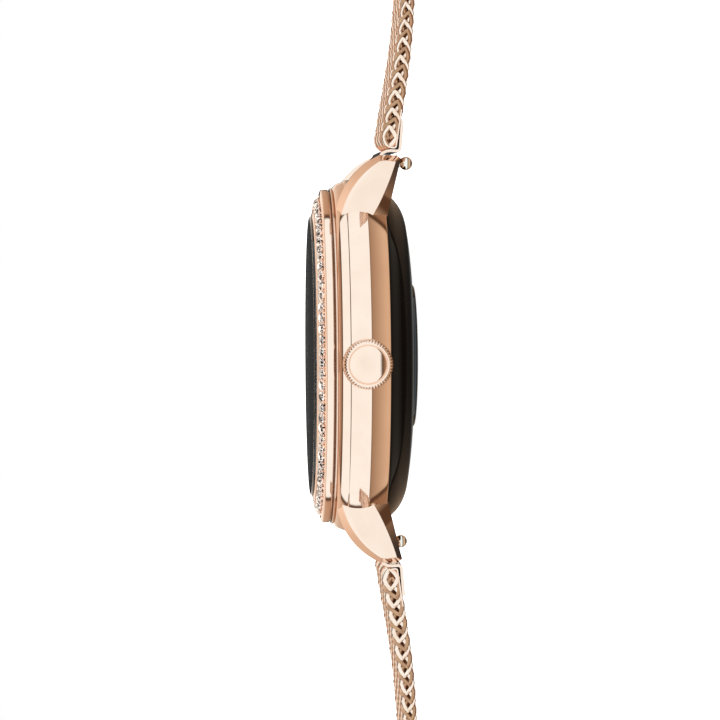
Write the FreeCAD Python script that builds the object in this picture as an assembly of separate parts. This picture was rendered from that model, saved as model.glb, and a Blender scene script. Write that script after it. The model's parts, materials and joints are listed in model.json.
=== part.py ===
"""A jewelled smartwatch on a woven-mesh strap, one STEP file for each physical piece.

Frame, in millimetres: +Z out of the display, +Y towards 12 o'clock, +X towards the crown.
The origin is on the case's axis, at the flat back of the sensor window. The watch lies on its
back with the strap open, so every piece is at z = 0 or above it.
"""

import FreeCAD, Part
import math
import os

V = FreeCAD.Vector

# ---------------------------------------------------------------- driving dimensions
case_radius = 21.05          # widest part of the mid case
case_widest_z = 7.22
case_back_z = 3.87
case_front_z = 9.82
case_back_radius = 19.9
case_front_radius = 19.86
case_bore = 18.6             # inside of the mid case

glass_radius = 16.72
glass_top_z = 12.6
glass_seat_z = 11.4

bezel_radius = 19.9
bezel_foot_z = 10.22
bezel_wall_top_z = 11.1
bezel_inner_radius = 16.8
bezel_inner_top_z = 12.22
stone_count = 88
stone_row_radius = 18.3
stone_diameter = 1.2

window_radius = 8.5          # sensor window, which the watch stands on
window_edge_z = 0.45

crown_z = 6.6
crown_radius = 2.9
crown_foot_x = 21.55
crown_end_x = 24.0
crown_flutes = 48

lug_inner_x = 9.15
lug_outer_x = 12.05
lug_bevel_x = 10.3           # where the bevels round the lug's flat side end

strap_width = 17.8
strap_thickness = 1.55
mesh_start = 1.95            # where the mesh begins, from the spring bar's axis
bar_y = 22.7                 # spring bar
bar_z = 3.35
bar_tip_radius = 0.45
bar_reach = 10.4             # tip's end in the lug's hole
lever_x = 6.0
lever_stroke = 1.45
lever_lean = math.radians(13.4)  # of the knob's stalk, away from the case
lever_length = 2.1           # from the bar's axis to the middle of the knob
knob_radius = 0.78
knuckle_gap = 0.06           # clearance in each bend of the strap
end_tube_radius = 1.45       # folded sheet round the spring bar

clasp_end_y = 86.5           # the end nearer to the watch
clasp_length = 22.0

# places that several pieces share, from the driving dimensions
half_strap = strap_width / 2
half_mesh = strap_thickness / 2
flat_z = half_mesh + 0.015   # middle of the mesh where it lies on the table
clasp_floor = 0.5            # thickness of the clasp's floor, under the mesh
raised_z = clasp_floor + 0.085 + half_mesh
slope_rise = bezel_inner_top_z - bezel_wall_top_z
stone_tilt = math.atan2(slope_rise, bezel_radius - bezel_inner_radius)
stone_z = bezel_wall_top_z + (bezel_radius - stone_row_radius) * math.tan(stone_tilt)

# middle line of each strap half, from the spring bar out: (distance from the case's axis, height)
first_links = [(bar_y, bar_z), (35.5, 1.56), (46.5, flat_z), (58.5, flat_z), (70.5, flat_z)]
upper_line = first_links + [(80.6, flat_z)]
lower_line = first_links + [(82.5, raised_z), (112.5, raised_z), (122.6, flat_z + 0.2)]

parts = {}


# ---------------------------------------------------------------- helpers
def wire(points, place):
    """A closed outline. A step that is a pair of points is an arc through the first to the second."""
    edges = []
    here = points[0]
    for step in points[1:] + [points[0]]:
        if isinstance(step[0], tuple):
            via, end = step
            edges.append(Part.Arc(place(*here), place(*via), place(*end)).toShape())
        else:
            end = step
            if place(*here).distanceToPoint(place(*end)) > 1e-6:
                edges.append(Part.makeLine(place(*here), place(*end)))
        here = end
    return Part.Wire(edges)


def turned(points):
    """A solid of revolution about the case's axis, from (radius, z) points."""
    face = Part.Face(wire(points, lambda r, z: V(r, 0, z)))
    return face.revolve(V(0, 0, 0), V(0, 0, 1), 360)


def crown_turned(points):
    """A solid of revolution about the crown's axis, from (x, radius) points."""
    face = Part.Face(wire(points, lambda x, r: V(x, 0, crown_z + r)))
    return face.revolve(V(0, 0, crown_z), V(1, 0, 0), 360)


def ring(inner, outer, low, high):
    return turned([(inner, low), (outer, low), (outer, high), (inner, high)])


def disc(radius, low, high, x=0, y=0):
    return Part.makeCylinder(radius, high - low, V(x, y, low))


def box(x0, x1, y0, y1, z0, z1):
    low = V(min(x0, x1), min(y0, y1), min(z0, z1))
    return Part.makeBox(abs(x1 - x0), abs(y1 - y0), abs(z1 - z0), low)


def across(points, half_width, start=None):
    """A solid across the strap, from an outline of (y, z) points; start is its near X if not -half_width."""
    x0 = -half_width if start is None else start
    face = Part.Face(wire(points, lambda y, z: V(x0, y, z)))
    return face.extrude(V(half_width - x0, 0, 0))


def rod_x(radius, x0, x1, y, z):
    return Part.makeCylinder(radius, abs(x1 - x0), V(min(x0, x1), y, z), V(1, 0, 0))


def joined(shapes):
    return shapes[0].fuse(shapes[1:]).removeSplitter()


def round_the_case(shape, count, first=0):
    copies = []
    for n in range(count):
        copy = shape.copy()
        copy.rotate(V(0, 0, 0), V(0, 0, 1), first + 360 * n / count)
        copies.append(copy)
    return copies


def save(name, shape):
    parts[name] = shape


# ---------------------------------------------------------------- lugs
def lug_loop(points, x):
    return wire(points, lambda y, z: V(x, y, z))


def lug():
    """The lug by the crown at 12 o'clock: a flat side, with bevels round it that widen the lug inwards."""
    side = [(16.6, 9.15), ((20.66, 7.31), (23.1, 4.56)), (23.2, 3.9), (23.05, 2.72),
            ((20.2, 3.72), (16.6, 5.45))]
    root = [(15.2, 9.8), ((21.1, 8.02), (23.8, 4.6)), (23.8, 2.6), (23.4, 2.05),
            ((20.2, 2.83), (15.2, 4.0))]
    bevels = Part.makeLoft([lug_loop(side, lug_outer_x), lug_loop(root, lug_bevel_x)], True, True)
    block = Part.Face(lug_loop(root, lug_bevel_x)).extrude(V(lug_inner_x - lug_bevel_x, 0, 0))
    return joined([bevels, block])


def four_lugs():
    origin = V(0, 0, 0)
    crown_side = [lug(), lug().mirror(origin, V(0, 1, 0))]
    return crown_side + [one.mirror(origin, V(1, 0, 0)) for one in crown_side]


# ---------------------------------------------------------------- case
def mid_case():
    shell = turned([
        (0, case_back_z), (case_back_radius, case_back_z),
        ((20.5, 4.98), (20.93, 6.05)), ((case_radius, case_widest_z), (20.93, 8.34)), (20.83, 8.48),
        ((20.7, 8.92), (20.5, 9.35)), (case_front_radius, case_front_z), (0, case_front_z)])
    body = joined([shell] + four_lugs())
    bore = disc(case_bore, case_back_z - 3, case_front_z + 3)
    cover_room = disc(case_back_radius - 0.15, 0, case_back_z)
    bezel_room = disc(20.2, case_front_z, case_front_z + 3)
    crown_hole = rod_x(1.5, 15, 24, 0, crown_z)
    crown_seat = rod_x(crown_radius + 0.35, crown_foot_x - 0.62, 25, 0, crown_z)
    hole_end, hole_start = bar_reach + 0.15, lug_inner_x - 1
    tip_holes = [rod_x(bar_tip_radius + 0.05, side * hole_end, side * hole_start, end * bar_y, bar_z)
                 for side in (-1, 1) for end in (-1, 1)]
    sound_hole = rod_x(0.4, -25, -15, -6, 7.4)
    return body.cut([bore, cover_room, bezel_room, crown_hole, crown_seat, sound_hole] + tip_holes)


def bezel():
    skirt_inner, skirt_outer = 17.6, case_bore - 0.05
    ledge_z = glass_seat_z - 0.12
    ledge_inner = 16.0
    hoop = turned([
        (skirt_inner, 8.9), (skirt_outer, 8.9), (skirt_outer, bezel_foot_z),
        (bezel_radius - 0.1, bezel_foot_z), (bezel_radius, bezel_foot_z + 0.1),
        (bezel_radius, bezel_wall_top_z), (bezel_inner_radius, bezel_inner_top_z),
        (bezel_inner_radius, ledge_z), (ledge_inner, ledge_z), (ledge_inner, bezel_foot_z),
        (skirt_inner, bezel_foot_z)])
    groove = tilted_ring(17.35, 19.25, -0.16, 0.6)
    seats = round_the_case(on_the_row(stone_seat()), stone_count)
    return hoop.cut(groove).cut(Part.makeCompound(seats))


def tilted_ring(inner, outer, low, high):
    """A ring that follows the bezel's slope, from low to high off its face."""
    def place(r, off):
        z = bezel_wall_top_z + (bezel_radius - r) * math.tan(stone_tilt)
        return (r + off * math.sin(stone_tilt), z + off * math.cos(stone_tilt))
    return turned([place(inner, low), place(outer, low), place(outer, high), place(inner, high)])


def on_the_row(shape):
    """Stands a stone, made at the origin along +Z, in its place at 3 o'clock on the slope."""
    shape.rotate(V(0, 0, 0), V(0, 1, 0), math.degrees(stone_tilt))
    shape.translate(V(stone_row_radius, 0, stone_z))
    return shape


def facets(radius, z, count=8):
    """A closed polygon with that many corners, at height z."""
    angles = [2 * math.pi * n / count for n in range(count + 1)]
    return Part.makePolygon([V(radius * math.cos(a), radius * math.sin(a), z) for a in angles])


def stone():
    girdle = stone_diameter / 2
    crown = Part.makeLoft([facets(girdle * 0.56, 0.24), facets(girdle, 0.06)], True, True)
    belt = Part.makeLoft([facets(girdle, 0.06), facets(girdle, 0.0)], True, True)
    pavilion = Part.makeLoft([facets(girdle, 0.0), facets(0.04, -0.5)], True, True)
    return joined([crown, belt, pavilion])


def stone_seat():
    girdle = stone_diameter / 2 + 0.03
    cone = Part.makeCone(0.08, girdle, 0.52, V(0, 0, -0.53))
    return cone.fuse(Part.makeCylinder(girdle, 1, V(0, 0, -0.01)))


def cover_glass():
    return turned([
        (0, glass_seat_z), (glass_radius, glass_seat_z), (glass_radius, 12.32), (16.5, 12.47),
        ((9.0, 12.56), (2.0, glass_top_z)), (0, glass_top_z)])


def back_cover():
    spigot, rim_z = case_bore - 0.05, case_back_z - 0.05
    return turned([
        (7.6, window_edge_z), (8.4, window_edge_z), ((13.0, 0.75), (16.4, 1.22)),
        ((18.35, 2.15), (19.7, rim_z)), (spigot, rim_z), (spigot, 4.7), (17.95, 4.7), (17.95, 3.3),
        ((16.0, 2.1), (12.5, 1.72)), (7.6, 1.6)])


def sensor_window():
    lens = turned([
        (0, 0), (window_radius - 0.3, 0), ((window_radius - 0.08, 0.08), (window_radius, 0.25)),
        (window_radius, window_edge_z), (7.55, window_edge_z), (7.55, 1.7), (0, 1.7)])
    return lens.cut([ring(6.6, 7.2, -1, 0.55), ring(5.2, 5.8, -1, 0.55)])


def save_case():
    save("mid_case", mid_case())
    save("bezel", bezel())
    save("bezel_crystals", Part.makeCompound(round_the_case(on_the_row(stone()), stone_count)))
    save("bezel_ring", turned([
        (18.65, case_front_z), (20.0, case_front_z), (20.08, 9.9), (20.08, 9.99), (20.0, 10.07),
        (18.65, 10.07)]))
    save("bezel_gasket", ring(18.65, 19.6, 10.07, bezel_foot_z))
    save("cover_glass", cover_glass())
    save("glass_gasket", ring(16.05, glass_radius, glass_seat_z - 0.12, glass_seat_z))
    save("back_cover", back_cover())
    save("back_gasket", ring(18.56, 19.5, case_back_z - 0.05, case_back_z))
    save("sensor_window", sensor_window())
    save("charge_rings", Part.makeCompound([ring(6.62, 7.18, 0.04, 0.54), ring(5.22, 5.78, 0.04, 0.54)]))


# ---------------------------------------------------------------- electronics
def save_electronics():
    crown_room = box(11.4, 20, -4.2, 4.2, 4, 9.0)
    motor_x, motor_y, motor_radius = 9.4, 9.4, 4.0
    display_radius, board_radius = 15.8, 16.8

    save("display", disc(display_radius, 10.0, 11.3))
    flex = [box(-2.5, 2.5, -17.35, -15.2, 9.7, 9.85), box(-2.5, 2.5, -17.35, -17.2, 8.6, 9.85),
            box(-2.5, 2.5, -17.35, -15.2, 8.6, 8.75), box(-2.5, 2.5, -15.4, -15.2, 9.7, 10.0)]
    save("display_flex", joined(flex))
    screw_places = [(-12.5, 7.5), (-12.5, -7.5), (8.0, 13.2), (8.0, -13.2)]
    board_holes = [disc(0.65, 8.0, 10.0, x, y) for x, y in screw_places]
    save("main_board", disc(board_radius, 8.9, 9.5).cut(board_holes))
    cans = [box(-10.5, -1.5, -6.5, 6.5, 7.65, 8.9), box(-0.5, 7.5, -5.0, 5.0, 7.65, 8.9)]
    hollows = [box(-10.3, -1.7, -6.3, 6.3, 7.85, 8.9), box(-0.3, 7.3, -4.8, 4.8, 7.85, 8.9)]
    save("shield_cans", Part.makeCompound([can.cut(hollow) for can, hollow in zip(cans, hollows)]))

    frame_hoop = ring(15.4, 17.4, 5.1, 8.9)
    frame_floor = disc(15.5, 7.2, 7.6).cut(disc(9.0, 7, 8, -3.0, 0))
    bosses = [disc(1.4, 7.2, 8.9, x, y) for x, y in screw_places]
    flex_room = box(-3.2, 3.2, -18, -14, 8.3, 9.5)
    screw_holes = [disc(0.6, 7.0, 9.0, x, y) for x, y in screw_places]
    motor_rooms = [disc(motor_radius + 0.15, 3, 6.9, motor_x, side * motor_y) for side in (-1, 1)]
    frame_cuts = [crown_room, flex_room] + screw_holes + motor_rooms
    save("inner_frame", joined([frame_hoop, frame_floor] + bosses).cut(frame_cuts))
    screws = []
    for x, y in screw_places:
        driver_slot = box(x - 0.8, x + 0.8, y - 0.12, y + 0.12, 9.75, 10)
        screws.append(joined([disc(1.1, 9.5, 9.9, x, y).cut(driver_slot), disc(0.55, 7.4, 9.6, x, y)]))
    save("board_screws", Part.makeCompound(screws))

    cell = turned([(0, 3.6), (10.7, 3.6), (11.0, 3.9), (11.0, 6.85), (10.7, 7.15), (0, 7.15)])
    save("battery", cell.translated(V(-3.0, 0, 0)))
    motor_can = disc(motor_radius, 3.7, 6.5, motor_x, motor_y)
    save("vibration_motor", joined([motor_can, disc(1.2, 6.5, 6.8, motor_x, motor_y)]))
    speaker_can = disc(motor_radius, 3.7, 6.3, motor_x, -motor_y)
    speaker_collar = ring(1.5, 3.0, 6.3, 6.8).translated(V(motor_x, -motor_y, 0))
    save("speaker", joined([speaker_can, speaker_collar]))
    chip_places = [(0, 0), (3.4, 0), (-3.4, 0), (0, 3.4), (0, -3.4)]
    chips = [box(x - 0.8, x + 0.8, y - 0.8, y + 0.8, 1.75, 2.2) for x, y in chip_places]
    save("sensor_board", joined([disc(7.0, 2.2, 2.8)] + chips))


# ---------------------------------------------------------------- crown and its switch
def crown_cap():
    body = crown_turned([
        (crown_foot_x, 1.72), (crown_foot_x, crown_radius - 0.25), (crown_foot_x + 0.25, crown_radius),
        (crown_end_x - 0.7, crown_radius), (crown_end_x - 0.45, 2.62), (crown_end_x - 0.45, 2.3),
        (crown_end_x - 0.55, 2.17), ((crown_end_x - 0.14, 1.15), (crown_end_x, 0.3)), (crown_end_x, 0),
        (22.75, 0), (22.75, 1.0), (21.95, 1.0), (21.95, 1.72)])
    flute_radius = 0.13
    flute = rod_x(flute_radius, crown_foot_x - 1, crown_end_x - 0.55, 0, crown_z + crown_radius + 0.02)
    flutes = []
    for n in range(crown_flutes):
        copy = flute.copy()
        copy.rotate(V(0, 0, crown_z), V(1, 0, 0), 360 * n / crown_flutes)
        flutes.append(copy)
    return body.cut(flutes)


def save_crown():
    switch_x, stem_x = 13.2, 14.0
    save("crown_tube", crown_turned([(18.1, 1.05), (18.1, 1.48), (21.1, 1.48), (21.1, 1.05)]))
    save("crown_cap", crown_cap())
    save("crown_stem", crown_turned([
        (stem_x, 0), (stem_x, 0.98), (17.75, 0.98), (17.75, 0.7), (18.0, 0.7), (18.0, 0.98), (19.0, 0.98),
        (19.0, 0.7), (19.5, 0.7), (19.5, 0.98), (20.1, 0.98), (20.1, 0.7), (20.6, 0.7), (20.6, 0.98),
        (22.75, 0.98), (22.75, 0)]))
    seals = [crown_turned([(x, 0.72), (x, 1.03), (x + 0.46, 1.03), (x + 0.46, 0.72)]) for x in (19.02, 20.12)]
    save("crown_seals", Part.makeCompound(seals))
    save("crown_clip", crown_turned([(17.77, 0.72), (17.77, 1.7), (17.98, 1.7), (17.98, 0.72)])
         .cut(box(17, 19, -0.6, 0.6, crown_z, crown_z + 3)))
    save("encoder_wheel", crown_turned([(15.9, 1.0), (15.9, 1.9), (17.0, 1.9), (17.0, 1.0)]))
    save("switch_plunger", rod_x(0.45, switch_x - 0.7, stem_x, 0, crown_z))
    save("push_switch", box(11.9, switch_x, -1.6, 1.6, crown_z - 1.4, crown_z + 1.4)
         .cut(rod_x(0.5, switch_x - 1.1, switch_x + 1, 0, crown_z)))
    plate = box(11.5, 11.9, -4.0, 4.0, 5.2, 8.9).fuse(box(11.5, 13.0, -4.0, 4.0, 8.5, 8.9))
    save("switch_bracket", plate.removeSplitter())


# ---------------------------------------------------------------- strap
def link(line, n, side):
    """Link n of a strap half. All but the first start round and turn in a hollow of the link before."""
    (y0, z0), (y1, z1) = line[n], line[n + 1]
    length = math.hypot(y1 - y0, z1 - z0)
    start = mesh_start if n == 0 else 0.0
    if n == len(line) - 2:
        outline = [(start, -half_mesh), (length, -half_mesh), (length, half_mesh), (start, half_mesh)]
    else:
        end = length - math.sqrt((half_mesh + knuckle_gap) ** 2 - half_mesh ** 2)
        hollow = (length - half_mesh - knuckle_gap, 0)
        outline = [(start, -half_mesh), (end, -half_mesh), (hollow, (end, half_mesh)), (start, half_mesh)]
    body = across(outline, half_strap)
    if n > 0:
        body = body.fuse(rod_x(half_mesh, -half_strap, half_strap, 0, 0)).removeSplitter()
    return laid(body, line, n, side)


def laid(shape, line, n, side):
    """Moves a shape made along +Y to link n of a strap half; side -1 is the 6 o'clock half."""
    (y0, z0), (y1, z1) = line[n], line[n + 1]
    shape.rotate(V(0, 0, 0), V(1, 0, 0), math.degrees(math.atan2(z1 - z0, y1 - y0)))
    shape.translate(V(0, y0, z0))
    if side < 0:
        shape.rotate(V(0, 0, 0), V(0, 0, 1), 180)
    return shape


def end_plate():
    """The folded sheet that ends the mesh: a tube on the bar, a tongue in the mesh, a plate behind."""
    tube = rod_x(end_tube_radius, -half_strap, half_strap, 0, 0)
    tongue = box(-7.6, 7.6, 0.5, 4.6, -0.2, 0.2)
    plate = across([(0.0, -end_tube_radius), (5.4, -1.13), (5.4, -0.83), (0.3, -1.1)], half_strap)
    body = joined([tube, tongue, plate])
    slot = box(lever_x - lever_stroke - 0.5, lever_x + 0.5, -0.55, 0.95, -2, 0)
    return body.cut([rod_x(1.1, -10, 10, 0, 0), slot])


def bar_tube():
    body = rod_x(0.95, -8.6, 8.6, 0, 0).cut(rod_x(0.62, -9, 9, 0, 0))
    return body.cut(box(lever_x - lever_stroke - 0.5, lever_x + 0.5, -0.45, 0.7, -2, 0))


def release_pin():
    """The sprung tip of the spring bar, with the knob that draws it back."""
    stem = rod_x(0.58, lever_x - 0.7, 8.55, 0, 0)
    tip = rod_x(bar_tip_radius, 8.5, bar_reach, 0, 0)
    down = V(0, math.sin(lever_lean), -math.cos(lever_lean))
    foot = V(lever_x, 0, 0)
    neck = Part.makeCylinder(0.36, lever_length, foot, down)
    knob = Part.makeSphere(knob_radius, foot + down * lever_length)
    return joined([stem, tip, neck, knob])


def bar_spring():
    """The spring behind the tip, as a sleeve of the coil's size."""
    return rod_x(0.5, 1.6, lever_x - 0.75, 0, 0).cut(rod_x(0.3, 1, 7, 0, 0))


def save_strap_end(name, line, side):
    save(name + "_end_plate", laid(end_plate(), line, 0, side))
    mesh = link(line, 0, 1)
    mesh = mesh.cut(laid(box(-7.65, 7.65, 0, 4.65, -0.25, 0.25), line, 0, 1))
    save(name + "_mesh_1", mesh if side > 0 else mesh.rotated(V(0, 0, 0), V(0, 0, 1), 180))
    save(name + "_bar_tube", laid(bar_tube(), line, 0, side))
    plug = rod_x(0.6, -8.55, -7.4, 0, 0).fuse(rod_x(bar_tip_radius, -bar_reach, -8.5, 0, 0)).removeSplitter()
    save(name + "_bar_tip", laid(plug, line, 0, side))
    save(name + "_bar_spring", laid(bar_spring(), line, 0, side))
    save(name + "_release_pin", laid(release_pin(), line, 0, side))


def catch_bar():
    """The cap on the 12 o'clock end, with the bar that the clasp hooks."""
    arms = 9.0
    cap = box(-half_strap, half_strap, 0, 2.4, -half_mesh, half_mesh)
    rails = [box(s * half_strap, s * (half_strap - 1.5), 0, 6.0, -half_mesh, half_mesh) for s in (-1, 1)]
    return joined([cap, rod_x(0.7, -arms + 0.2, arms - 0.2, 5.6, 0)] + rails)


def end_cap():
    length = 2.2
    round_end = ((length + half_mesh, 0), (length, half_mesh))
    return across([(0, -half_mesh), (length, -half_mesh), round_end, (0, half_mesh)], half_strap)


def save_strap():
    save_strap_end("upper", upper_line, 1)
    for n in range(1, len(upper_line) - 1):
        save(f"upper_mesh_{n + 1}", link(upper_line, n, 1))
    bar = catch_bar()
    bar.translate(V(0, upper_line[-1][0], upper_line[-1][1]))
    save("catch_bar", bar)

    save_strap_end("lower", lower_line, -1)
    for n in range(1, len(lower_line) - 1):
        save(f"lower_mesh_{n + 1}", link(lower_line, n, -1))
    (y0, z0), (y1, z1) = lower_line[-2:]
    cap = end_cap()
    cap.translate(V(0, math.hypot(y1 - y0, z1 - z0), 0))
    save("strap_end_cap", laid(cap, lower_line, len(lower_line) - 2, -1))


# ---------------------------------------------------------------- clasp
def at_six(shape):
    """Moves a shape made along +Y from the clasp's nearer end to its place at 6 o'clock."""
    return shape.translated(V(0, clasp_end_y, 0)).rotated(V(0, 0, 0), V(0, 0, 1), 180)


def save_clasp():
    """The sliding clasp, whose outlines are along +Y from the end nearer to the watch."""
    wall_in, wall_out = 9.0, 9.6
    cheek_in, cheek_out = 9.68, 10.2
    flap_pin = (8.0, 2.95)
    cover_pin = (9.9, 3.05)
    pin_radius = 0.3
    pin_bore = pin_radius + 0.04

    floor = box(-wall_out, wall_out, 0, clasp_length, 0, clasp_floor)
    wall = [(0.6, 0), (clasp_length - 0.6, 0), (clasp_length - 0.6, 2.6), (clasp_length - 1.6, 3.4),
            (1.6, 3.4), (0.6, 2.6)]
    walls = [across(wall, side * wall_out, side * wall_in) for side in (-1, 1)]
    bridge = box(-wall_out, wall_out, 12.0, 15.0, 2.25, 2.75)
    hook = across([(14.5, 2.25), (18.6, 2.25), ((19.3, 2.55), (19.4, 3.2)), (18.9, 3.3),
                   ((18.75, 2.85), (18.3, 2.75)), (14.5, 2.75)], 6.6)
    bores = [rod_x(pin_radius, -11, 11, *pin) for pin in (flap_pin, cover_pin)]
    save("clasp_frame", at_six(joined([floor, bridge, hook] + walls).cut(bores)))
    flap_rod = rod_x(pin_radius, -wall_out, wall_out, *flap_pin)
    cover_rod = rod_x(pin_radius, -cheek_out, cheek_out, *cover_pin)
    save("clasp_pins", at_six(Part.makeCompound([flap_rod, cover_rod])))

    flap_plate = across([(0.9, 2.6), (flap_pin[0], 2.6), (flap_pin[0], 3.15), (0.9, 3.15)], wall_in - 0.1)
    flap_teeth = [across([(y, 2.7), (y + 0.6, 2.7), (y + 0.3, 2.2)], 8.0) for y in (1.0, 1.8)]
    flap_barrel = rod_x(0.62, -(wall_in - 0.1), wall_in - 0.1, *flap_pin)
    flap = joined([flap_plate, flap_barrel] + flap_teeth)
    save("clasp_lock_flap", at_six(flap.cut(rod_x(pin_bore, -11, 11, *flap_pin))))

    # the lid starts past its pin, so that it stays above the walls when it stands open
    lid_start, lid_end = cover_pin[0] + 0.65, clasp_length + 0.6
    lid = box(-cheek_out, cheek_out, lid_start, lid_end, 3.6, 4.1)
    cheek = [(cover_pin[0], 2.4), (clasp_length - 0.6, 2.4), (lid_end, 3.2), (lid_end, 4.1),
             (cover_pin[0] - 0.1, 4.1), ((cover_pin[0] - 0.65, 3.05), (cover_pin[0], 2.4))]
    cheeks = [across(cheek, side * cheek_out, side * cheek_in) for side in (-1, 1)]
    lip = box(-cheek_in - 0.02, cheek_in + 0.02, clasp_length + 0.15, lid_end, 2.9, 3.7)
    cover = joined([lid, lip] + cheeks)
    save("clasp_cover", at_six(cover.cut(rod_x(pin_bore, -11, 11, *cover_pin))))


save_case()
save_electronics()
save_crown()
save_strap()
save_clasp()

os.makedirs("parts", exist_ok=True)
for name, shape in parts.items():
    shape.exportStep(f"parts/{name}.step")
    size = shape.BoundBox
    print(f"{name:18s} valid {shape.isValid()} solids {len(shape.Solids)} volume {shape.Volume:9.3f}"
          f"  x {size.XMin:8.2f} {size.XMax:7.2f}  y {size.YMin:8.2f} {size.YMax:7.2f}"
          f"  z {size.ZMin:6.2f} {size.ZMax:6.2f}")
print(len(parts), "pieces")
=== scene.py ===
# %% [markdown]
# # A jewelled smartwatch on a woven-mesh strap
# The watch lies on its back with the strap open. Its case and strap are steel with a rose-gold
# coating, polished until it mirrors the room, so most of what the eye reads as its shape is the
# reflection of the studio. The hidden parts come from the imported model, and so do the tips and
# springs of the spring bars. The end caps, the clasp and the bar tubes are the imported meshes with
# their flat triangles merged and their edges rounded. Every other visible piece is modelled again
# here, because a mirror shows each flat triangle of a drawing's mesh.

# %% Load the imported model
import json
import math

import bmesh
import bpy
from mathutils import Matrix, Vector


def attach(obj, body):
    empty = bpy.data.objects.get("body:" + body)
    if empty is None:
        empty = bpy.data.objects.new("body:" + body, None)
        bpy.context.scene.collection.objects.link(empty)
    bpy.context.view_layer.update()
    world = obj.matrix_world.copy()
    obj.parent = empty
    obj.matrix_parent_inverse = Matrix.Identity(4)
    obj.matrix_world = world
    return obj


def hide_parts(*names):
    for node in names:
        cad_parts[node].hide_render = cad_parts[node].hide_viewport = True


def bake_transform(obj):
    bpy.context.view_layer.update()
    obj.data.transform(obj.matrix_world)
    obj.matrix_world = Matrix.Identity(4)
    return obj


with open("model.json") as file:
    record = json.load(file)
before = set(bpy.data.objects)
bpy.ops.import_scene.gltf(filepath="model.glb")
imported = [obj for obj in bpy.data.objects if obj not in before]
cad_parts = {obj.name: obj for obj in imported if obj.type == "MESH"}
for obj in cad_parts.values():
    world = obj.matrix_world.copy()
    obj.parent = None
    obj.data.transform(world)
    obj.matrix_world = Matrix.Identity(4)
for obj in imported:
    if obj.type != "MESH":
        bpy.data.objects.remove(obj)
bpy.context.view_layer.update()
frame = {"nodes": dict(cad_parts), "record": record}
MM = 0.001

# %% [markdown]
# ## Camera
# The watch is seen square on from its crown side, with 12 o'clock upwards and the display to the
# left. A long lens far away keeps the near and the far lugs almost the same size. The camera
# stands a little towards the display and towards 12 o'clock, which is why the slope of the bezel
# shows. A free rotation matrix says this better than angles, because the picture's up is +Y.

# %% Place the camera
def unit(vector):
    return Vector(vector).normalized()


TARGET = Vector((0, -0.50, 6.42)) * MM
DISTANCE = 400 * MM
TOWARDS_DISPLAY, TOWARDS_TWELVE, ROLL = math.radians(2.75), math.radians(2.5), math.radians(-0.2)

backwards = unit((math.cos(TOWARDS_DISPLAY) * math.cos(TOWARDS_TWELVE), math.sin(TOWARDS_TWELVE),
                  math.sin(TOWARDS_DISPLAY) * math.cos(TOWARDS_TWELVE)))
rightwards = Vector((0, 1, 0)).cross(backwards).normalized()
upwards = backwards.cross(rightwards)
turn = Matrix((rightwards, upwards, backwards)).transposed() @ Matrix.Rotation(ROLL, 3, "Z")

camera_data = bpy.data.cameras.new("camera")
camera_data.sensor_width = 36
camera_data.lens = 167
camera_data.clip_start, camera_data.clip_end = 0.01, 20
camera = bpy.data.objects.new("camera", camera_data)
camera.matrix_world = Matrix.Translation(TARGET + backwards * DISTANCE) @ turn.to_4x4()
bpy.context.scene.collection.objects.link(camera)
bpy.context.scene.camera = camera
print("camera at", [round(c / MM, 1) for c in camera.location], "mm")

# %% [markdown]
# ## Adding nodes, and colours
# One small function adds a node, sets its properties, and links or fills its sockets. Colours are
# written as the hex codes that a designer would note down. Those are sRGB, and a shader wants
# linear light, so one function turns them.

# %% Two helpers for materials
def add(tree, kind, feeds=None, **settings):
    """Adds a node; feeds are its sockets by name or number, each a value or another socket."""
    made = tree.nodes.new(kind)
    for name, value in settings.items():
        setattr(made, name, value)
    for name, value in (feeds or {}).items():
        socket = made.inputs[name]
        if isinstance(value, bpy.types.NodeSocket):
            tree.links.new(value, socket)
        else:
            socket.default_value = value
    return made


def linear(code, strength=1.0):
    """An sRGB hex colour as linear RGBA, times a strength."""
    def one(channel):
        return channel / 12.92 if channel <= 0.04045 else ((channel + 0.055) / 1.055) ** 2.4
    return [one(int(code[n:n + 2], 16) / 255) * strength for n in (0, 2, 4)] + [1.0]


def fill_ramp(ramp, stops):
    """Sets a colour ramp's stops from (position, colour) pairs."""
    while len(ramp.elements) < len(stops):
        ramp.elements.new(0.5)
    for element, (position, colour) in zip(ramp.elements, stops):
        element.position, element.color = position, colour


print("rose gold in linear light:", [round(c, 3) for c in linear("F3CDB4")])

# %% [markdown]
# ## Studio
# Polished metal is photographed in a tent of white panels. A tall white panel curves round the
# side where the camera stands, from one end of the strap to the other. Above and below it are
# warm grey cards, whose reflections give the brown bands along the case. The sky of the scene
# does this best: each direction gets its brightness from its height and its side, and the camera
# itself sees plain white. A pale floor and one soft lamp overhead give the object its shadow.
# Neither is seen in the metal, and nor are the lugs: a strip of lamp burned white in the case.

# %% Build the studio
scene = bpy.context.scene
scene.view_settings.view_transform = "Standard"
world = bpy.data.worlds.new("studio")
scene.world = world
world.use_nodes = True
sky = world.node_tree
sky.nodes.clear()


def mirrored_by(degrees):
    """Where the front ramp is read by a surface that leans that far towards the display."""
    return 0.5 + 0.5 * math.sin(math.radians(degrees))


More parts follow.
